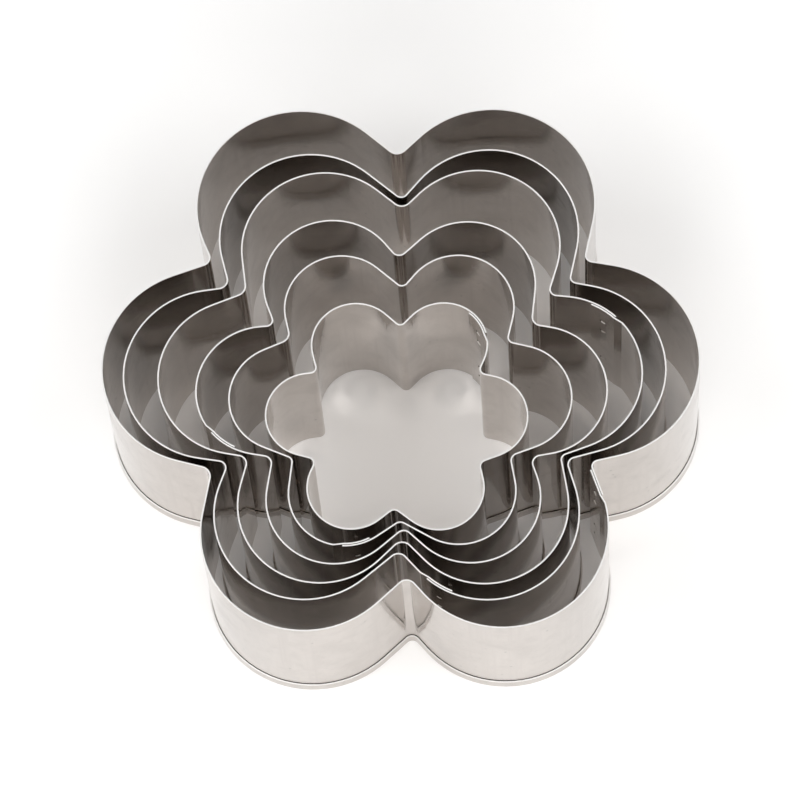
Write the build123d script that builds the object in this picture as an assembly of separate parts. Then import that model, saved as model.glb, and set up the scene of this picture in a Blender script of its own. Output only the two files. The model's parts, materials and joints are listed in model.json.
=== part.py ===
from build123d import *
from collections import namedtuple
from math import asin, atan2, cos, degrees, radians, sin, sqrt
import os

# A nest of six flower-shaped cookie cutters, standing one inside the other on
# their folded feet with the cutting edges up. Each cutter is one steel strip:
# it is bent round six lobes, its foot is folded outward into a hem, and its two
# ends are lapped and spot welded. All lengths are in millimetres.
#
# The origin lies under the middle of the nest, on the surface that it stands on.
# +X points through one lobe, +Y through a valley at the back, and +Z is up.

# Sizes of the nest
LARGEST_WIDTH = 100.0      # largest cutter, across two opposite lobes
HEIGHT = 30.0              # every cutter, from the foot to the cutting edge
SHEET = 0.25               # thickness of the strip

# Hem along the foot
HEM_HEIGHT = 2.3
HEM_SLIT = 0.08            # between the wall and the leg that is folded up
FOLD_SHARE = 0.75          # rounding of the folded edge, as a share of the sheet
FOLD_RADIUS = FOLD_SHARE * SHEET
HEM_REACH = SHEET / 2 + HEM_SLIT + SHEET

# Bend between two lobes. The hem's outer face is on the inside of the bend.
HEM_BEND_RADIUS = 0.5
VALLEY_RADIUS = HEM_BEND_RADIUS + HEM_REACH

# Lapped seam
LAP_LENGTH = 4.7           # how far the strip's last end reaches past the first
LAP_SLIT = 0.1             # between the two layers
JOGGLE_LENGTH = 1.5        # where the last end steps inward behind the first
WELD_RADIUS = 0.6
WELD_DENT = 0.06           # depth of the electrode's mark in each face
WELD_HEIGHT_SHARES = (0.16, 0.3, 0.7, 0.84)

LOBES = 6
LOBE_STEP = 360 / LOBES    # angle from one lobe to the next, in degrees

# Widths of the six cutters as shares of the largest one, before each gives up
# the room that a hem takes. The distance from a cutter's middle to the middle of
# a lobe, and the straight run between a lobe and a valley, are shares of its own
# width.
NAMES = (
    "largest_cutter",
    "second_cutter",
    "third_cutter",
    "fourth_cutter",
    "fifth_cutter",
    "smallest_cutter",
)
HEM_ROOM = HEM_REACH + SHEET / 2
WIDTH_SHARES = (1.0, 0.892, 0.818, 0.705, 0.606, 0.491)
RING_SHARES = (0.329, 0.331, 0.329, 0.332, 0.335, 0.333)
FLANK_SHARES = (0.059, 0.063, 0.055, 0.061, 0.0655, 0.0515)

# The cutters lie loosely in each other and are turned a little. Places are
# shares of the largest width, and turns are in degrees.
PLACE_SHARES = (
    (-0.002, 0.0),
    (-0.008, -0.013),
    (0.0, -0.019),
    (0.001, -0.046),
    (-0.001, -0.061),
    (-0.0075, -0.0905),
)
TURNS = (-0.4, -0.8, -0.9, -1.0, -0.8, -2.3)

# The thin strips are sprung a little out of shape. Each lobe is moved outward
# and sideways (counter-clockwise) from its even place, by these shares of the
# largest width, starting with the lobe on +X and going counter-clockwise.
LOBE_MOVE_SHARES = (
    ((-0.008, -0.001), (-0.007, 0.006), (0.001, -0.001), (-0.01, -0.003), (-0.003, 0.009), (0.003, -0.001)),
    ((0.002, 0.0), (-0.003, -0.011), (-0.011, 0.004), (0.008, 0.0), (-0.006, -0.006), (-0.002, 0.004)),
    ((-0.002, -0.001), (-0.002, 0.003), (-0.002, -0.002), (0.002, 0.0), (-0.003, -0.001), (0.004, 0.004)),
    ((0.001, -0.003), (-0.009, -0.001), (0.0, 0.006), (0.003, -0.002), (-0.006, 0.0), (-0.003, 0.004)),
    ((0.0, -0.001), (-0.002, -0.002), (0.002, 0.005), (0.002, -0.004), (-0.002, 0.002), (0.0, 0.001)),
    ((-0.003, 0.0), (0.002, 0.0), (-0.001, 0.0), (-0.001, 0.0), (0.0, 0.001), (0.0, 0.0)),
)

# The valleys are moved the same way, starting with the one after the +X lobe.
VALLEY_MOVE_SHARES = (
    ((-0.005, -0.003), (0.0, -0.002), (-0.004, -0.004), (-0.006, -0.003), (-0.003, 0.003), (-0.007, 0.001)),
    ((0.0, -0.003), (-0.008, -0.005), (-0.008, 0.001), (-0.009, 0.001), (-0.008, 0.004), (-0.005, -0.001)),
    ((-0.008, -0.002), (0.0, -0.002), (0.001, 0.0), (-0.005, -0.001), (-0.008, 0.0), (0.004, 0.002)),
    ((-0.002, -0.004), (-0.007, 0.002), (-0.006, 0.001), (-0.004, -0.003), (-0.002, 0.001), (-0.004, 0.0)),
    ((-0.003, -0.001), (-0.007, -0.004), (0.0, -0.002), (0.001, 0.001), (0.006, -0.003), (-0.001, 0.0)),
    ((-0.003, 0.0), (-0.001, -0.001), (-0.002, 0.001), (-0.003, 0.001), (0.002, -0.001), (0.001, -0.001)),
)

# The bends in the valleys are tight or blunt, as shares of the tightest one that
# the hem can follow.
BEND_SHARES = (
    (1.2, 1.8, 1.5, 1.8, 1.7, 1.1),
    (1.1, 1.2, 1.6, 1.3, 1.6, 1.3),
    (1.2, 1.8, 1.8, 1.5, 1.8, 1.1),
    (1.6, 1.4, 1.1, 1.4, 1.4, 1.4),
    (1.1, 1.1, 1.7, 1.0, 1.3, 1.4),
    (1.0, 1.0, 1.0, 1.1, 1.2, 1.2),
)

# Where each strip starts, as a share of the way round from the +X lobe.
SEAM_SHARES = (0.969, 0.837, 0.103, 0.607, 0.757, 0.19)


# A run is a stretch of the strip's middle line. Its radius is positive where it
# turns left, negative where it turns right and zero where it is straight.
Run = namedtuple("Run", "x y heading length radius")


def beside(run, distance, offset):
    """Return the point that far along a run and that far to its right."""
    heading = heading_at(run, distance)
    if run.radius == 0:
        x = run.x + distance * cos(radians(heading))
        y = run.y + distance * sin(radians(heading))
    else:
        x = run.x + run.radius * (sin(radians(heading)) - sin(radians(run.heading)))
        y = run.y - run.radius * (cos(radians(heading)) - cos(radians(run.heading)))
    return (x + offset * sin(radians(heading)), y - offset * cos(radians(heading)))


def heading_at(run, distance):
    """Return a run's direction of travel, in degrees from +X."""
    if run.radius == 0:
        return run.heading
    return run.heading + degrees(distance / run.radius)


def toward(angle):
    """Return the level direction at an angle from +X."""
    return Vector(cos(radians(angle)), sin(radians(angle)))


def polar(radius, angle):
    """Return the point that far from the origin at an angle from +X."""
    return toward(angle) * radius


def bearing(vector):
    """Return a level vector's angle from +X."""
    return degrees(atan2(vector.Y, vector.X))


def flower(index):
    """Return the runs round one cutter, from the start of its +X lobe."""
    width = LARGEST_WIDTH * WIDTH_SHARES[index] - 2 * index * HEM_ROOM
    ring = width * RING_SHARES[index]
    lobe_radius = width / 2 - ring
    flank = width * FLANK_SHARES[index]
    half_gap = ring * sin(radians(LOBE_STEP / 2))
    bends = [VALLEY_RADIUS * share for share in BEND_SHARES[index]]
    place = Vector(*PLACE_SHARES[index]) * LARGEST_WIDTH

    lobes = []
    for lobe, (out_share, side_share) in enumerate(LOBE_MOVE_SHARES[index]):
        angle = lobe * LOBE_STEP + TURNS[index]
        move = polar(out_share * LARGEST_WIDTH, angle) + polar(side_share * LARGEST_WIDTH, angle + 90)
        lobes.append(place + polar(ring, angle) + move)

    # A valley's bend stands outside the line between its two lobes, and the
    # strip crosses from a lobe to it along their inner tangents.
    headings = []
    valleys = []
    for lobe, (out_share, side_share) in enumerate(VALLEY_MOVE_SHARES[index]):
        here = lobes[lobe]
        there = lobes[(lobe + 1) % LOBES]
        along = bearing(there - here)
        reach = lobe_radius + bends[lobe]
        stand = sqrt(reach ** 2 + flank ** 2 - half_gap ** 2)
        outward = polar(stand + out_share * LARGEST_WIDTH, along - 90)
        sideways = polar(side_share * LARGEST_WIDTH, along)
        valley = (here + there) / 2 + outward + sideways
        inbound = bearing(valley - here) + degrees(asin(reach / (valley - here).length))
        outbound = bearing(there - valley) - degrees(asin(reach / (there - valley).length))
        valleys.append(valley)
        headings.append((inbound, outbound))

    runs = []
    for lobe in range(LOBES):
        start_heading = headings[lobe - 1][1]
        inbound, outbound = headings[lobe]
        lobe_turn = (inbound - start_heading) % 360
        lobe_start = lobes[lobe] + polar(lobe_radius, start_heading - 90)
        lobe_end = lobes[lobe] + polar(lobe_radius, inbound - 90)
        bend_turn = (inbound - outbound) % 360
        bend_start = valleys[lobe] + polar(bends[lobe], inbound + 90)
        bend_end = valleys[lobe] + polar(bends[lobe], outbound + 90)
        next_start = lobes[(lobe + 1) % LOBES] + polar(lobe_radius, outbound - 90)
        lobe_length = radians(lobe_turn) * lobe_radius
        bend_length = radians(bend_turn) * bends[lobe]
        inbound_length = (bend_start - lobe_end).length
        outbound_length = (next_start - bend_end).length
        runs.append(Run(lobe_start.X, lobe_start.Y, start_heading, lobe_length, lobe_radius))
        runs.append(Run(lobe_end.X, lobe_end.Y, inbound, inbound_length, 0))
        runs.append(Run(bend_start.X, bend_start.Y, inbound, bend_length, -bends[lobe]))
        runs.append(Run(bend_end.X, bend_end.Y, outbound, outbound_length, 0))
    return runs


def length_of(runs):
    """Return the length of a row of runs."""
    return sum(run.length for run in runs)


def stretch(runs, start, end):
    """Return the part of a closed row of runs between two distances."""
    part = []
    passed = 0
    for run in runs + runs:
        first = max(start - passed, 0)
        last = min(end - passed, run.length)
        if last > first:
            x, y = beside(run, first, 0)
            part.append(Run(x, y, heading_at(run, first), last - first, run.radius))
        passed += run.length
    return part


def edge_beside(run, offset):
    """Return the edge that follows a run at an offset to its right."""
    start = beside(run, 0, offset)
    end = beside(run, run.length, offset)
    if run.radius == 0:
        return Line(start, end).edge()
    return ThreePointArc(start, beside(run, run.length / 2, offset), end).edge()


def edges_beside(runs, offset):
    """Return the edges that follow a row of runs at an offset to its right."""
    return [edge_beside(run, offset) for run in runs]


def closed_face(right, left):
    """Return the face between two rows of edges, closed square at both ends."""
    first_cap = Line(left[0] @ 0, right[0] @ 0).edge()
    last_cap = Line(right[-1] @ 1, left[-1] @ 1).edge()
    return make_face(right + left + [first_cap, last_cap])


def band(runs, inner, outer):
    """Return the plan of a layer between two offsets, outward ones positive."""
    return closed_face(edges_beside(runs, outer), edges_beside(runs, inner))


def slab(face, low, high):
    """Return a plan face raised to a solid between two heights."""
    return extrude(Pos(0, 0, low) * face, amount=high - low)


def strip_plan(main, tongue):
    """Return the plan of the whole strip, with its last end lapped inside."""
    wall_outer = SHEET / 2
    wall_inner = -SHEET / 2
    tongue_outer = wall_inner - LAP_SLIT
    tongue_inner = tongue_outer - SHEET
    sides = []
    for wall_offset, tongue_offset in ((wall_outer, tongue_outer), (wall_inner, tongue_inner)):
        wall_edges = edges_beside(main, wall_offset)
        tongue_edges = edges_beside(tongue, tongue_offset)
        joggle = Line(wall_edges[-1] @ 1, tongue_edges[0] @ 0).edge()
        sides.append(wall_edges + [joggle] + tongue_edges)
    return closed_face(sides[0], sides[1])


def hem(main):
    """Return the folded foot: a rounded fold and the leg that stands outside."""
    wall_inner = -SHEET / 2
    leg_inner = HEM_REACH - SHEET
    fold = slab(band(main, wall_inner, HEM_REACH), 0, SHEET)
    foot_edges = fold.faces().sort_by(Axis.Z)[0].edges()
    cap_middle = (wall_inner + HEM_REACH) / 2
    first_cap = foot_edges.sort_by_distance(beside(main[0], 0, cap_middle))[0]
    last_cap = foot_edges.sort_by_distance(beside(main[-1], main[-1].length, cap_middle))[0]
    long_edges = [edge for edge in foot_edges if edge not in (first_cap, last_cap)]
    fold = fillet(long_edges, FOLD_RADIUS)
    leg = slab(band(main, leg_inner, HEM_REACH), FOLD_RADIUS, HEM_HEIGHT)
    return fold + leg


def weld_parts(tongue):
    """Return the weld nuggets between the layers and the dents over them."""
    middle = length_of(tongue) / 2
    spot = stretch(tongue, middle, length_of(tongue))[0]
    outward = heading_at(spot, 0) - 90
    outer_face = SHEET / 2
    inner_face = -SHEET / 2 - LAP_SLIT - SHEET
    nuggets = []
    dents = []
    for share in WELD_HEIGHT_SHARES:
        z = share * HEIGHT
        nuggets.append(pin(spot, z, outward, inner_face + SHEET / 2, 0))
        dents.append(pin(spot, z, outward, outer_face - WELD_DENT, outer_face + SHEET))
        dents.append(pin(spot, z, outward, inner_face - SHEET, inner_face + WELD_DENT))
    return nuggets, dents


def pin(spot, z, outward, start, end):
    """Return a round pin square to the wall, between two offsets from it."""
    x, y = beside(spot, 0, start)
    plane = Plane(origin=(x, y, z), z_dir=toward(outward))
    return extrude(plane * Circle(WELD_RADIUS), amount=end - start)


def cutter(index):
    """Return one whole cutter as a single solid."""
    runs = flower(index)
    total = length_of(runs)
    start = total * SEAM_SHARES[index]
    main = stretch(runs, start, start + total - JOGGLE_LENGTH)
    tongue = stretch(runs, start, start + LAP_LENGTH)
    strip = slab(strip_plan(main, tongue), FOLD_RADIUS, HEIGHT)
    nuggets, dents = weld_parts(tongue)
    body = strip + hem(main) + nuggets - dents
    return body


cutters = [cutter(index) for index in range(len(NAMES))]

# Stand the nest with the middle of its box over the origin.
box = cutters[0].bounding_box()
middle_shift = Pos(-box.center().X, -box.center().Y, -box.min.Z)

os.makedirs("parts", exist_ok=True)
for name, body in zip(NAMES, cutters):
    placed = middle_shift * body
    placed.label = name
    export_step(placed, "parts/" + name + ".step")
    print(name, "solids", len(placed.solids()), "volume", round(placed.volume, 3))
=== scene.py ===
import json
from math import radians

import bpy
from mathutils import Matrix, Vector

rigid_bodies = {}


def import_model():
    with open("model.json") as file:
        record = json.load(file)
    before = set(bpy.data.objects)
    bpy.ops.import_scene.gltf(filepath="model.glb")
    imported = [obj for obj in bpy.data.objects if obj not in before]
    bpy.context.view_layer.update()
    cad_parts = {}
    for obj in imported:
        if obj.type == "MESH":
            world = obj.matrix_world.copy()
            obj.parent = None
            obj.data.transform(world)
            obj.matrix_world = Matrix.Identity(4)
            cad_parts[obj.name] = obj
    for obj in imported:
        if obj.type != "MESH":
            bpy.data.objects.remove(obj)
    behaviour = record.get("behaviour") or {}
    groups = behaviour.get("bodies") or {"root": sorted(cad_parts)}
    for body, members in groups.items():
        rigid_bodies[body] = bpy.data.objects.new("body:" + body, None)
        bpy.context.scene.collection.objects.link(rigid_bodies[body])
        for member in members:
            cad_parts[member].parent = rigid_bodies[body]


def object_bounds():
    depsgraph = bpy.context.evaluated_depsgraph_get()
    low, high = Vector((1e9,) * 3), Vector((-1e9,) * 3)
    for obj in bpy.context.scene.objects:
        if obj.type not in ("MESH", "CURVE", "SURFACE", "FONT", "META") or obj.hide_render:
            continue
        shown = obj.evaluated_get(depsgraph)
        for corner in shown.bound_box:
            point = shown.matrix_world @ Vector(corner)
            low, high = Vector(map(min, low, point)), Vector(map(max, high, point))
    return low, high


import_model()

cad_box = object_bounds()
scene = bpy.context.scene

# Six cutters of polished steel stand one inside the other on a white floor.
# Lengths are in metres, angles in degrees and lamp strengths in watts.
MM = 0.001
TOP = cad_box[1][2]
CUTTERS = (
    "largest_cutter",
    "second_cutter",
    "third_cutter",
    "fourth_cutter",
    "fifth_cutter",
    "smallest_cutter",
)

# Colours
STEEL = (0.575, 0.538, 0.507, 1)
STEEL_DULL = (0.50, 0.466, 0.438, 1)
STEEL_DUST = (0.38, 0.36, 0.34, 1)
# Sheared edges: near white, a painted highlight for the light that the burred rims catch
EDGE_PAINTED_HIGHLIGHT = (0.92, 0.91, 0.90, 1)
PAPER_LOW = (0.89, 0.89, 0.89, 1)
PAPER_HIGH = (0.92, 0.92, 0.92, 1)
WHITE = (1, 1, 1, 1)

# Marks on the steel. A scale is in cells per metre, a stretch is one along
# each axis, and a range is the levels between which a mark fades in.
WIDE_SMUDGE_SCALE = 90
WIDE_SMUDGE_RANGE = (0.45, 0.7)
SMALL_SMUDGE_SCALE = 380
SMALL_SMUDGE_RANGE = (0.42, 0.72)
SMALL_SMUDGE_MOST = 0.7
SMUDGE_GRIT = 0.6
STREAK_STRETCH = (1000, 1000, 22)
STREAK_GRIT = 0.6
STREAK_RANGE = (0.45, 0.85)
HAIR_STRETCHES = ((700, 90, 60), (60, 80, 900))
HAIR_BENDING = 0.4
HAIR_WIDTH = 0.012
HAIR_PATCH_SCALE = 160
HAIR_PATCH_RANGE = (0.58, 0.68)
NOISE_MIDDLE = 0.5
SPECK_SCALE = 420
SPECK_RANGE = (0.05, 0.12)
SPECK_PATCH_SCALE = 150
SPECK_PATCH_RANGE = (0.54, 0.58)
EDGE_RANGE = (0.6, 0.8)
PATTERN_STEP = (0.31, 0.17, 0.05)

# Gloss of the steel, and how deep its waves and marks are
# The sheared edges are only partly metallic, so their near-white colour shows as a painted
# highlight
EDGE_METALLIC = 0.35
CLEAN_ROUGHNESS = 0.10
SMUDGED_ROUGHNESS = 0.17
HAIR_ROUGHNESS = 0.10
EDGE_ROUGHNESS = 0.40
WAVE_STRETCH = (1, 1, 0.35)
WAVE_SCALE = 75
WAVE_HEIGHT = 0.16 * MM
RIPPLE_STRETCH = (1, 1, 0.2)
RIPPLE_SCALE = 300
RIPPLE_HEIGHT = 0.016 * MM
STREAK_HEIGHT = 0.002 * MM
ROLL_STRETCH = (20, 20, 900)
ROLL_HEIGHT = 0.0006 * MM
HAIR_DEPTH = 0.003 * MM

# Floor
FLOOR_SIZE = 3.0
FLOOR_DROP = 0.005 * MM
FLOOR_GLOW = 0.12
PAPER_GRAIN_SCALE = 900

# Light: a white tent under a dim warm ceiling, and large soft boxes. The tent
# fades into the ceiling between two heights of the direction looked in.
TENT_SIDE = 0.6
TENT_TOP = 0.08
CEILING = (1.0, 0.85, 0.70, 1)
FADE_RANGE = (0.35, 0.85)
SOFT_BOXES = (
    # name, place, width and height, strength
    ("front", (0.0, -1.3, 0.6), (2.0, 0.9), 18.0),
    ("back", (0.0, 1.3, 0.6), (2.0, 0.9), 6.0),
    ("left", (-0.75, -0.1, 0.95), (1.0, 0.6), 5.4),
    ("right", (0.75, -0.1, 0.95), (1.0, 0.6), 5.2),
)

# Camera, at the photograph's angle. The lens and the sensor are in millimetres.
AIM = Vector((-0.129 * MM, -6.283 * MM, TOP))
DISTANCE = 863.73 * MM
AZIMUTH = 4.304
ELEVATION = 69.060
ROLL = -5.585
LENS = 237.43
SENSOR = 36.0
CLIP_START = 0.01

# Light passes many times and sharply between the close mirror walls
GLOSSY_BOUNCES = 12
GLOSS_BLUR = 0.0


class Tree:
    """A short way to write one material's nodes."""

    def __init__(self, name):
        """Start a material that has an output node alone."""
        self.material = bpy.data.materials.new(name)
        self.material.use_nodes = True
        self.nodes = self.material.node_tree.nodes
        self.links = self.material.node_tree.links
        self.nodes.clear()
        self.output = self.nodes.new("ShaderNodeOutputMaterial")

    def put(self, value, socket):
        """Set a socket from a number, a colour or another socket."""
        if isinstance(value, bpy.types.NodeSocket):
            self.links.new(value, socket)
        else:
            socket.default_value = value

    def coordinates(self):
        """Return the place on the object, in metres."""
        return self.nodes.new("ShaderNodeTexCoord").outputs["Object"]

    def part_of(self, vector, axis):
        """Return one of a vector's three numbers."""
        node = self.nodes.new("ShaderNodeSeparateXYZ")
        self.put(vector, node.inputs[0])
        return node.outputs[axis]

    def scaled(self, vector, scale, offset=(0, 0, 0)):
        """Return a vector scaled axis by axis, then moved."""
        node = self.nodes.new("ShaderNodeMapping")
        self.put(vector, node.inputs["Vector"])
        node.inputs["Location"].default_value = offset
        node.inputs["Scale"].default_value = scale
        return node.outputs["Vector"]

    def noise(self, vector, scale, detail=2.0, roughness=0.5, distortion=0.0):
        """Return smooth noise, from 0 to 1."""
        node = self.nodes.new("ShaderNodeTexNoise")
        self.put(vector, node.inputs["Vector"])
        node.inputs["Scale"].default_value = scale
        node.inputs["Detail"].default_value = detail
        node.inputs["Roughness"].default_value = roughness
        node.inputs["Distortion"].default_value = distortion
        return node.outputs["Fac"]

    def cells(self, vector, scale):
        """Return the distance to the nearest of many scattered points, in cells."""
        node = self.nodes.new("ShaderNodeTexVoronoi")
        self.put(vector, node.inputs["Vector"])
        node.inputs["Scale"].default_value = scale
        return node.outputs["Distance"]

    def math(self, operation, a, b=0.0, clamp=False):
        """Return the result of one sum."""
        node = self.nodes.new("ShaderNodeMath")
        node.operation = operation
        node.use_clamp = clamp
        self.put(a, node.inputs[0])
        self.put(b, node.inputs[1])
        return node.outputs[0]

    def span(self, value, low, high, to_low=0.0, to_high=1.0, smooth=False):
        """Carry a value from one range over to another, and clamp it there."""
        node = self.nodes.new("ShaderNodeMapRange")
        node.interpolation_type = "SMOOTHSTEP" if smooth else "LINEAR"
        self.put(value, node.inputs["Value"])
        node.inputs["From Min"].default_value = low
        node.inputs["From Max"].default_value = high
        node.inputs["To Min"].default_value = to_low
        node.inputs["To Max"].default_value = to_high
        return node.outputs["Result"]

    def mix(self, share, a, b):
        """Return colour a where the share is 0 and colour b where it is 1."""
        node = self.nodes.new("ShaderNodeMix")
        node.data_type = "RGBA"
        self.put(share, node.inputs["Factor"])
        self.put(a, node.inputs["A"])
        self.put(b, node.inputs["B"])
        return node.outputs["Result"]

    def bump(self, height, distance, normal=None):
        """Return the normal, tilted by a height between 0 and 1 times a distance."""
        node = self.nodes.new("ShaderNodeBump")
        self.put(height, node.inputs["Height"])
        node.inputs["Distance"].default_value = distance
        if normal is not None:
            self.put(normal, node.inputs["Normal"])
        return node.outputs["Normal"]


def smudges(tree, place):
    """Return the dull patches of handling, millimetres to centimetres across."""
    wide = tree.noise(place, WIDE_SMUDGE_SCALE, detail=4, roughness=SMUDGE_GRIT)
    wide = tree.span(wide, *WIDE_SMUDGE_RANGE, smooth=True)
    small = tree.noise(place, SMALL_SMUDGE_SCALE, detail=3, roughness=SMUDGE_GRIT)
    small = tree.span(small, *SMALL_SMUDGE_RANGE, to_high=SMALL_SMUDGE_MOST)
    return tree.math("MAXIMUM", wide, small)


def streaks(tree, place):
    """Return faint streaks up the wall, a millimetre wide."""
    stretched = tree.scaled(place, STREAK_STRETCH)
    level = tree.noise(stretched, 1.0, detail=3, roughness=STREAK_GRIT)
    return tree.span(level, *STREAK_RANGE)


def hairlines(tree, place):
    """Return thin scratches: contour lines of two stretched noises, in patches."""
    lines = []
    for stretch in HAIR_STRETCHES:
        stretched = tree.scaled(place, stretch)
        level = tree.noise(stretched, 1.0, detail=1, distortion=HAIR_BENDING)
        level = tree.math("ABSOLUTE", tree.math("SUBTRACT", level, NOISE_MIDDLE))
        lines.append(tree.span(level, 0.0, HAIR_WIDTH, 1, 0))
    patch = tree.noise(place, HAIR_PATCH_SCALE, detail=1)
    patch = tree.span(patch, *HAIR_PATCH_RANGE, smooth=True)
    return tree.math("MULTIPLY", tree.math("MAXIMUM", lines[0], lines[1]), patch)


def specks(tree, place):
    """Return a few specks of dust, a third of a millimetre across."""
    dots = tree.span(tree.cells(place, SPECK_SCALE), *SPECK_RANGE, 1, 0, smooth=True)
    some = tree.span(tree.noise(place, SPECK_PATCH_SCALE, detail=0), *SPECK_PATCH_RANGE)
    return tree.math("MULTIPLY", dots, some)


def cut_edge(tree):
    """Return where the strip's sheared edges are: the faces that look straight up. They
    are rougher, and carry a painted highlight.
    """
    geometry = tree.nodes.new("ShaderNodeNewGeometry")
    return tree.span(tree.part_of(geometry.outputs["True Normal"], "Z"), *EDGE_RANGE)


def polished_steel(name, offset):
    """Return mirror-polished sheet steel with handling marks, and sheared edges that are
    rougher and carry a painted highlight.
    """
    tree = Tree(name)
    place = tree.scaled(tree.coordinates(), (1, 1, 1), offset)
    smudge = smudges(tree, place)
    streak = streaks(tree, place)
    hair = hairlines(tree, place)
    edge = cut_edge(tree)

    shader = tree.nodes.new("ShaderNodeBsdfPrincipled")
    # Painted highlight: the sheared edges are only partly metallic and near white, so the
    # rims show as a bright line under any light
    metallic = tree.span(edge, 0, 1, 1.0, EDGE_METALLIC)
    tree.put(metallic, shader.inputs["Metallic"])
    colour = tree.mix(tree.math("MAXIMUM", smudge, streak), STEEL, STEEL_DULL)
    colour = tree.mix(specks(tree, place), colour, STEEL_DUST)
    colour = tree.mix(edge, colour, EDGE_PAINTED_HIGHLIGHT)
    tree.put(colour, shader.inputs["Base Color"])

    rough = tree.span(smudge, 0, 1, CLEAN_ROUGHNESS, SMUDGED_ROUGHNESS)
    rough = tree.math("ADD", rough, tree.math("MULTIPLY", hair, HAIR_ROUGHNESS))
    edge_rough = tree.math("MULTIPLY", edge, EDGE_ROUGHNESS)
    rough = tree.math("ADD", rough, edge_rough, clamp=True)
    tree.put(rough, shader.inputs["Roughness"])

    # The sheet is a little wavy, with faint roll lines along the strip
    wave = tree.noise(tree.scaled(place, WAVE_STRETCH), WAVE_SCALE, detail=1)
    ripple = tree.noise(tree.scaled(place, RIPPLE_STRETCH), RIPPLE_SCALE, detail=1)
    roll = tree.noise(tree.scaled(place, ROLL_STRETCH), 1.0, detail=3)
    normal = tree.bump(wave, WAVE_HEIGHT)
    normal = tree.bump(ripple, RIPPLE_HEIGHT, normal)
    normal = tree.bump(streak, STREAK_HEIGHT, normal)
    normal = tree.bump(roll, ROLL_HEIGHT, normal)
    normal = tree.bump(hair, -HAIR_DEPTH, normal)
    tree.put(normal, shader.inputs["Normal"])
    tree.put(shader.outputs[0], tree.output.inputs["Surface"])
    return tree.material


def white_paper():
    """Return matt white paper whose white also shows to the eye and in metal."""
    paper = Tree("white_floor")
    grain = paper.noise(paper.coordinates(), PAPER_GRAIN_SCALE, detail=3)
    diffuse = paper.nodes.new("ShaderNodeBsdfDiffuse")
    paper.put(paper.mix(grain, PAPER_LOW, PAPER_HIGH), diffuse.inputs["Color"])
    ray = paper.nodes.new("ShaderNodeLightPath").outputs
    seen = paper.math("MAXIMUM", ray["Is Camera Ray"], ray["Is Glossy Ray"])
    seen = paper.math("MAXIMUM", seen, ray["Is Transmission Ray"])
    glow = paper.nodes.new("ShaderNodeEmission")
    glow.inputs["Color"].default_value = WHITE
    paper.put(paper.math("MULTIPLY", seen, FLOOR_GLOW), glow.inputs["Strength"])
    both = paper.nodes.new("ShaderNodeAddShader")
    paper.put(diffuse.outputs[0], both.inputs[0])
    paper.put(glow.outputs[0], both.inputs[1])
    paper.put(both.outputs[0], paper.output.inputs["Surface"])
    return paper.material


def light_tent():
    """Return the world: bright all round, and dim overhead."""
    world = bpy.data.worlds.new("light_tent")
    world.use_nodes = True
    sky = world.node_tree
    direction = sky.nodes.new("ShaderNodeTexCoord")
    split = sky.nodes.new("ShaderNodeSeparateXYZ")
    fade = sky.nodes.new("ShaderNodeMapRange")
    fade.interpolation_type = "SMOOTHSTEP"
    fade.inputs["From Min"].default_value = FADE_RANGE[0]
    fade.inputs["From Max"].default_value = FADE_RANGE[1]
    tent = sky.nodes.new("ShaderNodeMix")
    tent.data_type = "RGBA"
    tent.inputs["A"].default_value = [TENT_SIDE * part for part in WHITE]
    tent.inputs["B"].default_value = [TENT_TOP * part for part in CEILING]
    sky.links.new(direction.outputs["Generated"], split.inputs[0])
    sky.links.new(split.outputs["Z"], fade.inputs["Value"])
    sky.links.new(fade.outputs["Result"], tent.inputs["Factor"])
    sky.links.new(tent.outputs["Result"], sky.nodes["Background"].inputs["Color"])
    return world


def soft_box(name, place, size, power):
    """Hang a rectangular lamp at a place, turned to the origin."""
    lamp = bpy.data.lights.new(name, "AREA")
    lamp.shape = "RECTANGLE"
    lamp.size = size[0]
    lamp.size_y = size[1]
    lamp.energy = power
    holder = bpy.data.objects.new(name, lamp)
    holder.location = place
    holder.rotation_euler = (-Vector(place)).to_track_quat("-Z", "Y").to_euler()
    scene.collection.objects.link(holder)


# Steel, with another part of the pattern on each cutter
for index, name in enumerate(CUTTERS):
    offset = tuple(step * index for step in PATTERN_STEP)
    steel = polished_steel("steel_" + name, offset)
    for slot in bpy.data.objects[name].material_slots:
        slot.material = steel

# Floor
half = FLOOR_SIZE / 2
corners = [
    (-half, -half, -FLOOR_DROP),
    (half, -half, -FLOOR_DROP),
    (half, half, -FLOOR_DROP),
    (-half, half, -FLOOR_DROP),
]
floor_mesh = bpy.data.meshes.new("floor")
floor_mesh.from_pydata(corners, [], [(0, 1, 2, 3)])
floor_mesh.materials.append(white_paper())
floor = bpy.data.objects.new("floor", floor_mesh)
scene.collection.objects.link(floor)

# Light
scene.world = light_tent()
for box in SOFT_BOXES:
    soft_box(*box)

# Camera
camera = bpy.data.cameras.new("camera")
camera.lens = LENS
camera.sensor_width = SENSOR
camera.clip_start = CLIP_START
turn = Matrix.Rotation(radians(AZIMUTH), 4, "Z")
turn = turn @ Matrix.Rotation(radians(90 - ELEVATION), 4, "X")
back = turn @ Vector((0, 0, 1))
turn = turn @ Matrix.Rotation(radians(ROLL), 4, "Z")
camera_object = bpy.data.objects.new("camera", camera)
camera_object.matrix_world = Matrix.Translation(AIM + back * DISTANCE) @ turn
scene.collection.objects.link(camera_object)
scene.camera = camera_object

scene.cycles.glossy_bounces = GLOSSY_BOUNCES
scene.cycles.blur_glossy = GLOSS_BLUR
scene.view_settings.view_transform = "Standard"
